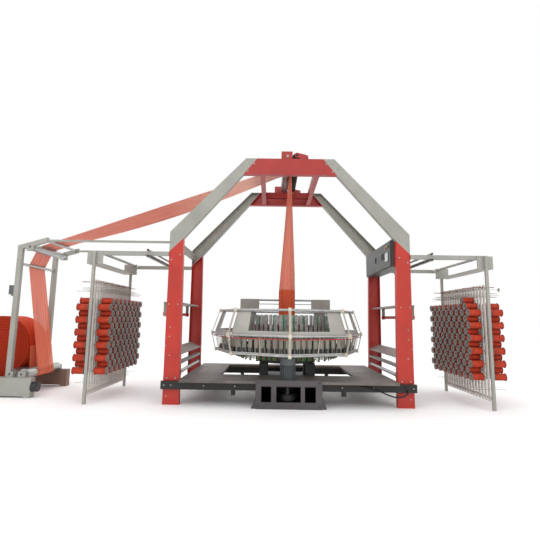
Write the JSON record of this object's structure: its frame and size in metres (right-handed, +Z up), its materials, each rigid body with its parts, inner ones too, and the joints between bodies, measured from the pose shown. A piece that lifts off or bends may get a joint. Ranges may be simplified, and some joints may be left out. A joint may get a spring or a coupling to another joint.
{
  "type": "circular loom",
  "caption": "Circular loom weaving mesh bag tube, with a bobbin creel on each side and a fabric winder on the left.",
  "frame": {"origin": "on the loom's vertical axis at floor level, at the middle of the base housing's underside", "axes": "+Z up, +X to the operator's right and along the longest extent, +Y away from the operator"},
  "size_m": [6.9473, 2.0378, 3.12],
  "materials": {
    "red_paint": "satin",
    "grey_paint": "satin",
    "dark_paint": "satin",
    "bar_paint": "satin",
    "cabinet_paint": "satin",
    "clear_plastic": "gloss",
    "panel_paint": "satin",
    "deck_plate": "matte",
    "motor_paint": "satin",
    "steel": "brushed",
    "cast_iron": "rough",
    "aluminium": "satin",
    "rubber": "matte",
    "green_plastic": "matte",
    "cream_paint": "satin",
    "mesh_fabric": "woven",
    "roll_fabric": "woven",
    "bobbin_yarn": "wound",
    "screen_plastic": "gloss",
    "green_button": "gloss",
    "red_button": "gloss"
  },
  "bodies": {
    "machine": {"frame_posts": "red_paint", "top_beams": "red_paint", "top_cross_beams": "red_paint", "takeup_brackets": "red_paint", "takeup_motor": "red_paint", "frame_arms": "grey_paint", "winder_front_frame": "grey_paint", "winder_rear_frame": "grey_paint", "creel_posts": "grey_paint", "creel_hangers": "grey_paint", "tie_bars": "grey_paint", "creel_arms": "grey_paint", "guard_plates": "grey_paint", "creel_strips": "grey_paint", "platform_beams": "dark_paint", "winder_motor": "dark_paint", "side_bars": "bar_paint", "platform_deck": "deck_plate", "base_housing": "panel_paint", "base_front_panel": "panel_paint", "loom_table": "cast_iron", "drive_motor": "motor_paint", "drive_belt": "rubber", "centre_column": "steel", "shuttle_race": "steel", "creel_spindles": "steel", "winder_cross_tubes": "steel", "guard_rails": "steel", "lower_tray": "aluminium", "warp_fingers": "aluminium", "guard_straps": "cream_paint", "heddle_strips": "clear_plastic", "tension_blocks": "screen_plastic", "fabric_tube": "mesh_fabric", "fabric_web": "mesh_fabric", "creel_bobbins": "bobbin_yarn", "cabinet_body": "cabinet_paint"},
    "rotor": {"main_pulley": "cast_iron", "pusher_spider": "steel", "shuttles": "aluminium"},
    "motor_rotor": {"motor_pulley": "cast_iron"},
    "odd_heddles": {"heddle_bands_odd": "green_plastic"},
    "even_heddles": {"heddle_bands_even": "green_plastic"},
    "takeup_roller": {"takeup_drive_roller": "steel"},
    "press_links": {"press_arms": "red_paint"},
    "press_roll": {"press_roller": "rubber"},
    "cloth_roll": {"fabric_roll": "roll_fabric"},
    "near_drum": {"winding_drum_near": "steel"},
    "far_drum": {"winding_drum_far": "steel"},
    "guide_roll": {"winder_guide_roller": "steel"},
    "floor_roll": {"winder_floor_roller": "steel"},
    "left_tension": {"left_tension_roller": "red_paint"},
    "right_tension": {"right_tension_roller": "red_paint"},
    "left_feed": {"left_feed_roller": "steel"},
    "right_feed": {"right_feed_roller": "steel"},
    "middle_door": {"middle_door": "cabinet_paint"},
    "front_door": {"front_door": "cabinet_paint", "operator_screen": "screen_plastic"},
    "start_button": {"start_button": "green_button"},
    "stop_button": {"stop_button": "red_button"}
  },
  "joints": [
    {"name": "rotor_spin", "type": "hinge", "parent": "machine", "child": "rotor", "pos_m": [0, 0, 0.11], "axis": [0, 0, 1], "continuous": true},
    {"name": "motor_spin", "type": "hinge", "parent": "machine", "child": "motor_rotor", "pos_m": [-0.01, -0.715, 0.11], "axis": [0, 0, 1], "continuous": true},
    {"name": "heddle_odd_lift", "type": "slide", "parent": "machine", "child": "odd_heddles", "axis": [0, 0, 1], "range_m": [-0.06, 0.06]},
    {"name": "heddle_even_lift", "type": "slide", "parent": "machine", "child": "even_heddles", "axis": [0, 0, 1], "range_m": [-0.06, 0.06]},
    {"name": "takeup_spin", "type": "hinge", "parent": "machine", "child": "takeup_roller", "pos_m": [-0.0307, 0, 3.05], "axis": [0, 1, 0], "continuous": true},
    {"name": "press_arm_swing", "type": "hinge", "parent": "machine", "child": "press_links", "pos_m": [0.19, 0, 3.035], "axis": [0, 1, 0], "range_deg": [0, 25]},
    {"name": "press_roller_spin", "type": "hinge", "parent": "press_links", "child": "press_roll", "pos_m": [0.08728, 0, 3.06], "axis": [0, 1, 0], "continuous": true},
    {"name": "roll_spin", "type": "hinge", "parent": "machine", "child": "cloth_roll", "pos_m": [-3.76, 0, 0.6], "axis": [0, 1, 0], "continuous": true},
    {"name": "near_drum_spin", "type": "hinge", "parent": "machine", "child": "near_drum", "pos_m": [-3.44832, 0, 0.275], "axis": [0, 1, 0], "continuous": true},
    {"name": "far_drum_spin", "type": "hinge", "parent": "machine", "child": "far_drum", "pos_m": [-4.07168, 0, 0.275], "axis": [0, 1, 0], "continuous": true},
    {"name": "guide_roller_spin", "type": "hinge", "parent": "machine", "child": "guide_roll", "pos_m": [-3.345, 0, 1.885], "axis": [0, 1, 0], "continuous": true},
    {"name": "floor_roller_spin", "type": "hinge", "parent": "machine", "child": "floor_roll", "pos_m": [-3.3, 0, 0.275], "axis": [0, 1, 0], "continuous": true},
    {"name": "left_tension_spin", "type": "hinge", "parent": "machine", "child": "left_tension", "pos_m": [-1.5, 0, 1.045], "axis": [0, 1, 0], "continuous": true},
    {"name": "right_tension_spin", "type": "hinge", "parent": "machine", "child": "right_tension", "pos_m": [1.5, 0, 1.045], "axis": [0, 1, 0], "continuous": true},
    {"name": "left_feed_spin", "type": "hinge", "parent": "machine", "child": "left_feed", "pos_m": [-1.302, 0, 0.357], "axis": [0, 1, 0], "continuous": true},
    {"name": "right_feed_spin", "type": "hinge", "parent": "machine", "child": "right_feed", "pos_m": [1.302, 0, 0.357], "axis": [0, 1, 0], "continuous": true},
    {"name": "middle_door_swing", "type": "hinge", "parent": "machine", "child": "middle_door", "pos_m": [1.2495, 0.18, 1.83], "axis": [0, 0, -1], "range_deg": [0, 110]},
    {"name": "front_door_swing", "type": "hinge", "parent": "machine", "child": "front_door", "pos_m": [1.2495, -0.6, 1.83], "axis": [0, 0, 1], "range_deg": [0, 110]},
    {"name": "start_press", "type": "slide", "parent": "front_door", "child": "start_button", "axis": [1, 0, 0], "range_m": [0, 0.004], "stiffness_N_per_m": 200},
    {"name": "stop_press", "type": "slide", "parent": "front_door", "child": "stop_button", "axis": [1, 0, 0], "range_m": [0, 0.004], "stiffness_N_per_m": 200}
  ],
  "couplings": [
    {"joint": "motor_spin", "follows": "rotor_spin", "ratio": 3.8462},
    {"joint": "heddle_even_lift", "follows": "heddle_odd_lift", "ratio": -1},
    {"joint": "near_drum_spin", "follows": "roll_spin", "ratio": -6.5},
    {"joint": "far_drum_spin", "follows": "roll_spin", "ratio": -6.5}
  ]
}
